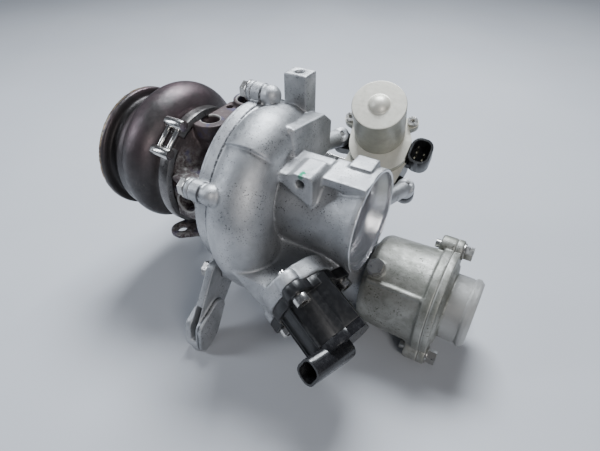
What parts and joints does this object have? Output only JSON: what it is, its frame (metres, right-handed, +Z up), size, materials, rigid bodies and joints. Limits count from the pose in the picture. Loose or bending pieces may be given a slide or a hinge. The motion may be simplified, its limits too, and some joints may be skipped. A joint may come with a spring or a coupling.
{
  "type": "turbocharger",
  "caption": "Exhaust turbocharger with turbine, bearing and compressor housings, electric wastegate actuator, diverter valve, and pulsation damper on its outlet.",
  "frame": {"origin": "centre of the compressor inlet mouth, on the shaft axis", "axes": "+X along the shaft out of the compressor inlet, +Z up, +Y away from the diverter valve"},
  "size_m": [0.2355, 0.177, 0.1445],
  "materials": {
    "cast_aluminium": "as-cast satin",
    "damper_aluminium": "as-cast, grimy satin",
    "machined_aluminium": "machined",
    "centre_iron": "heat-tinted, rough",
    "turbine_iron": "heat-tinted, satin",
    "steel": "plated",
    "dark_steel": "heat-dulled",
    "can_steel": "zinc plated, satin",
    "bronze": "machined bronze",
    "black_plastic": "satin moulded",
    "black_gloss": "gloss moulded",
    "rubber": "matt",
    "copper": "enamelled copper",
    "contact": "tinned brass",
    "gasket": "fibre"
  },
  "bodies": {
    "casing": {"compressor_housing": "cast_aluminium", "backplate": "cast_aluminium", "backplate_oring": "rubber", "backplate_bolts": "steel", "support_leg": "cast_aluminium", "centre_housing": "centre_iron", "turbine_bearing": "bronze", "bearing_spacer": "steel", "compressor_bearing": "bronze", "thrust_bearing": "bronze", "seal_insert": "steel", "compressor_seal_ring": "dark_steel", "turbine_seal_ring": "dark_steel", "heat_shield": "dark_steel", "turbine_housing": "turbine_iron", "vband_band": "steel", "vband_trunnions": "steel", "vband_latch": "steel", "diverter_body": "black_plastic", "diverter_cover": "black_gloss", "diverter_pins": "contact", "diverter_coil": "copper", "diverter_spring": "steel", "diverter_seal": "rubber", "diverter_screws": "steel", "damper_body": "damper_aluminium", "damper_plug": "steel", "damper_cover": "damper_aluminium", "damper_oring": "rubber", "damper_insert": "black_plastic", "damper_gasket": "gasket", "damper_bolts": "steel", "damper_mount_bolts": "steel", "actuator_housing": "can_steel", "actuator_cover": "black_plastic", "actuator_pins": "contact", "actuator_screws": "steel", "actuator_bolts": "steel", "motor_can": "can_steel", "motor_magnets": "dark_steel", "idler_pin": "steel", "output_bush": "bronze", "wastegate_bush": "dark_steel"},
    "rotor": {"turbine_rotor": "dark_steel", "compressor_wheel": "machined_aluminium", "shaft_nut": "steel", "thrust_collar": "steel", "oil_flinger": "steel"},
    "motor": {"motor_rotor": "steel"},
    "idler": {"idler_gear": "black_plastic"},
    "output": {"output_gear": "steel", "actuator_lever": "steel"},
    "rod": {"link_rod": "steel", "link_clips": "dark_steel"},
    "wastegate": {"wastegate_lever": "steel", "wastegate_spindle": "dark_steel", "wastegate_flap": "dark_steel"},
    "valve_piston": {"diverter_piston": "black_plastic"}
  },
  "joints": [
    {"name": "rotor_spin", "type": "hinge", "parent": "casing", "child": "rotor", "pos_m": [-0.1, 0, 0], "axis": [1, 0, 0], "continuous": true},
    {"name": "output_swing", "type": "hinge", "parent": "casing", "child": "output", "pos_m": [-0.02588, 0.05776, -0.01604], "axis": [-0.12, 0.5599, -0.8198], "range_deg": [0, 20]},
    {"name": "idler_spin", "type": "hinge", "parent": "casing", "child": "idler", "pos_m": [-0.01906, 0.07373, -0.00613], "axis": [-0.12, 0.5599, -0.8198], "range_deg": [-60.5, 0.5]},
    {"name": "motor_spin", "type": "hinge", "parent": "casing", "child": "motor", "pos_m": [-0.02886, 0.08067, 0.00005], "axis": [-0.12, 0.5599, -0.8198], "range_deg": [-1, 241]},
    {"name": "wastegate_swing", "type": "hinge", "parent": "casing", "child": "wastegate", "pos_m": [-0.1605, 0.04858, -0.00261], "axis": [-0.12, 0.5599, -0.8198], "range_deg": [-0.1, 20.1]},
    {"name": "rod_swing", "type": "hinge", "parent": "output", "child": "rod", "pos_m": [-0.03092, 0.07658, -0.01952], "axis": [-0.12, 0.5599, -0.8198], "range_deg": [-20.1, 0.1]},
    {"name": "diverter_slide", "type": "slide", "parent": "casing", "child": "valve_piston", "axis": [0.8805, -0.3402, -0.3302], "range_m": [0, 0.008], "stiffness_N_per_m": 400, "springref_m": -0.004, "deforming": ["diverter_spring"]}
  ],
  "couplings": [
    {"joint": "idler_spin", "follows": "output_swing", "ratio": -3},
    {"joint": "motor_spin", "follows": "output_swing", "ratio": 12},
    {"joint": "wastegate_swing", "follows": "output_swing", "ratio": 1},
    {"joint": "rod_swing", "follows": "output_swing", "ratio": -1}
  ]
}
